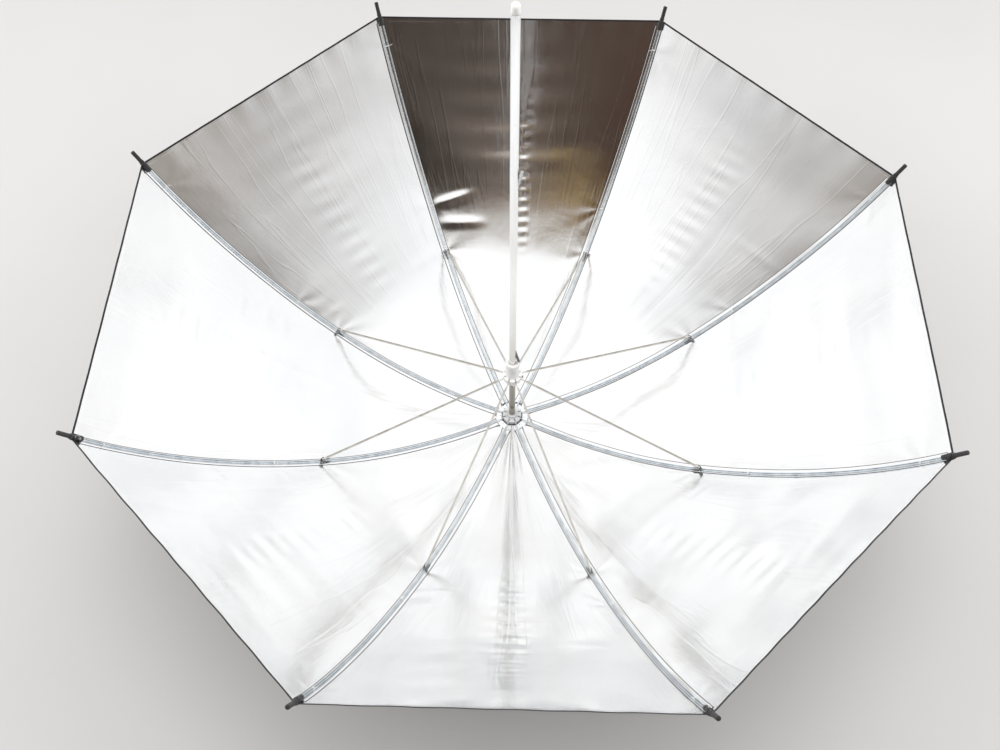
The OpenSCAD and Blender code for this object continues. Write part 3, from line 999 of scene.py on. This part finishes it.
def finish_cad_nodes():
    for name, material in CAD_FINISHES.items():
        for slot in frame["nodes"][name].material_slots:
            slot.material = material


# ---------------------------------------------------------------- camera, light and floor
def camera():
    place = Vector((9.4, -690.8, 649.8)) * MM
    azimuth_deg, down_deg, roll_deg = -2.02, 58.71, -0.54
    a, d = math.radians(azimuth_deg), math.radians(down_deg)
    look = Vector((math.sin(a) * math.cos(d), math.cos(a) * math.cos(d), -math.sin(d)))
    data = bpy.data.cameras.new("camera")
    data.lens = 39.66
    data.sensor_width = 36
    data.clip_start = 0.02
    data.dof.use_dof = False
    cam = bpy.data.objects.new("camera", data)
    turn = look.to_track_quat("-Z", "Y").to_matrix().to_4x4()
    cam.matrix_world = Matrix.Translation(place) @ turn @ Matrix.Rotation(math.radians(roll_deg), 4, "Z")
    bpy.context.scene.collection.objects.link(cam)
    bpy.context.scene.camera = cam


class World(NodeMaker):
    """The world's light, as a node tree."""

    def __init__(self, name):
        world = bpy.data.worlds.new(name)
        world.use_nodes = True
        bpy.context.scene.world = world
        super().__init__(world.node_tree)

    def vector_math(self, operation, a, b):
        n = self.node("ShaderNodeVectorMath", operation=operation)
        self.links.new(a, n.inputs[0])
        if isinstance(b, tuple):
            n.inputs[1].default_value = b
        else:
            self.links.new(b, n.inputs[1])
        return n.outputs["Value" if operation in ("DOT_PRODUCT", "DISTANCE") else "Vector"]

    def mix(self, factor, a, b, kind="MIX"):
        n = self.node("ShaderNodeMix", data_type="RGBA", blend_type=kind)
        for socket, source in (("Factor", factor), ("A", a), ("B", b)):
            if isinstance(source, (int, float, tuple)):
                n.inputs[socket].default_value = source
            else:
                self.links.new(source, n.inputs[socket])
        return n.outputs["Result"]

    def noise(self, vector, scale, detail):
        n = self.node("ShaderNodeTexNoise", Scale=scale, Detail=detail)
        self.links.new(vector, n.inputs["Vector"])
        return n.outputs["Fac"]


WHITE = (1, 1, 1)
# brightness by squared distance from the opening's axis, for the top gore and for the gores beside it
OPENING_MIDDLE = [
    (0.0, (0.045, 0.038, 0.034)), (0.6, (0.066, 0.058, 0.052)), (0.67, (0.085, 0.075, 0.066)),
    (0.705, (0.17, 0.155, 0.14)), (0.735, (0.42, 0.4, 0.37)), (0.775, (0.93, 0.92, 0.9)), (0.82, WHITE)]
OPENING_BESIDE = [
    (0.0, (0.2, 0.18, 0.16)), (0.7, (0.25, 0.23, 0.21)), (0.77, (0.35, 0.335, 0.32)),
    (0.82, (0.47, 0.455, 0.445)), (0.87, (0.58, 0.57, 0.565)), (0.94, (0.76, 0.755, 0.75)),
    (0.98, (0.94, 0.94, 0.94)), (1.0, WHITE)]
# the dark room beyond, from left to right, and its upright streaks
ROOM = [
    (0.0, (1.1, 1.08, 1.06)), (0.08, (0.5, 0.47, 0.43)), (0.15, (0.45, 0.42, 0.38)),
    (0.25, (0.75, 0.7, 0.66)), (0.35, (2.0, 1.85, 1.8)), (0.5, (1.9, 1.75, 1.65)), (0.6, (1.4, 1.2, 1.05)),
    (0.72, (1.0, 0.78, 0.7)), (0.9, (1.0, 0.58, 0.47)), (1.0, (0.85, 0.83, 0.81))]
STREAKS = [(0.38, (0.6, 0.62, 0.58)), (0.5, WHITE), (0.62, (1.6, 1.55, 1.5))]
WALLS = [(0.35, (0.9, 0.915, 0.92)), (0.48, (0.98, 0.98, 0.985)), (0.65, WHITE)]
GLOW_PLACE = (0.14, -0.6, 0.79)
GLOW_COLOR = (0.46, 0.33, 0.14, 1)
BACKDROP = (0.68, 0.67, 0.66, 1)
TENT_STRENGTH = 1.12


def opening_light(w, direction, sideways):
    """The round opening in front, the dark room seen through it and a warm lamp's glow on its upper edge."""
    to_left = w.vector_math("ADD", w.vector_math("MULTIPLY", direction, (1, 0, 1)), (-0.025, 0, 0))
    from_axis = w.vector_math("DOT_PRODUCT", to_left, direction)
    across_squared = w.vector_math("DOT_PRODUCT", w.vector_math("MULTIPLY", direction, (1, 0, 0)), direction)
    opening = w.mix(w.between(across_squared, 0.1, 0.3), w.ramp(from_axis, OPENING_MIDDLE),
                    w.ramp(from_axis, OPENING_BESIDE))
    streaks = w.ramp(w.noise(w.vector_math("MULTIPLY", direction, (15, 0, 1.5)), 1.0, 3), STREAKS)
    room = w.mix(1.0, w.ramp(w.between(sideways, -0.3, 0.3), ROOM), streaks, "MULTIPLY")
    dark_share = w.between(opening, 0.1, 0.45, 1.0, 0.0)
    opening = w.mix(dark_share, opening, w.mix(1.0, opening, room, "MULTIPLY"))
    glow = w.between(w.vector_math("DISTANCE", direction, GLOW_PLACE), 0.02, 0.1, 0.8, 0.0)
    return w.mix(glow, opening, GLOW_COLOR)


def world_light():
    """A bright tent of white cloth with a dark opening on the -Y side, behind a plain backdrop."""
    w = World("tent")
    direction = w.node("ShaderNodeTexCoord").outputs["Generated"]
    split = w.node("ShaderNodeSeparateXYZ")
    w.links.new(direction, split.inputs["Vector"])
    opening = opening_light(w, direction, split.outputs["X"])
    behind = w.between(split.outputs["Y"], -0.1, 0.0)
    walls = w.ramp(w.noise(direction, 2.2, 2), WALLS)
    tent = w.mix(1.0, w.mix(behind, opening, (*WHITE, 1)), walls, "MULTIPLY")
    # light that has been from gore to gore is nearly even
    path = w.node("ShaderNodeLightPath")
    tent = w.mix(w.between(path.outputs["Ray Depth"], 2.4, 2.6, 0.0, 0.8), tent, (*WHITE, 1))
    background = w.nodes["Background"]
    background.inputs["Strength"].default_value = TENT_STRENGTH
    w.links.new(w.mix(path.outputs["Is Camera Ray"], tent, BACKDROP), background.inputs["Color"])


LIGHT_POWER = 15


def area_light(name, place, size):
    """A round soft light that points at the hub and isn't mirrored in the cloth."""
    data = bpy.data.lights.new(name, "AREA")
    data.shape = "DISK"
    data.size = size
    data.energy = LIGHT_POWER
    lamp = bpy.data.objects.new(name, data)
    lamp.location = place
    lamp.rotation_euler = (Vector((0, 0, HUB_Z)) - Vector(place)).to_track_quat("-Z", "Y").to_euler()
    lamp.visible_glossy = False
    bpy.context.scene.collection.objects.link(lamp)


def floor():
    size = 6.0
    s = Shader("floor_paper", (0.6, 0.59, 0.58), 0.85)
    s.vary_color(s.noise(3, 3), (0.592, 0.582, 0.572), (0.608, 0.598, 0.588))
    s.bump(s.noise(600, 3), 0.05 * MM)
    corners = [(-size, -size, FLOOR_Z), (size, -size, FLOOR_Z), (size, size, FLOOR_Z), (-size, size, FLOOR_Z)]
    obj = new_mesh("floor", corners, [(0, 1, 2, 3)], [s.mat], smooth=False)


camera()
world_light()
area_light("top_light", (0.0, 0.0, 2.3), 1.4)
area_light("left_light", (-1.6, 0.1, 0.8), 1.2)
area_light("right_light", (1.6, 0.1, 0.8), 1.2)
floor()
finish_cad_nodes()
for number in range(1, RIBS + 1):
    rib(number)
    bracket(number)
    seam_tape(number)
    outer_seam(number)
    tie(number, 1, TIE_S, f"rib_end_{number}")
    tie(number, 2, END_TIE_S, f"rib_end_{number}", turns=2)
    tip_dressing(number)
canopy()
runner_ring()
crown_ruffle()
rosette()
bpy.context.scene.view_settings.view_transform = "Standard"
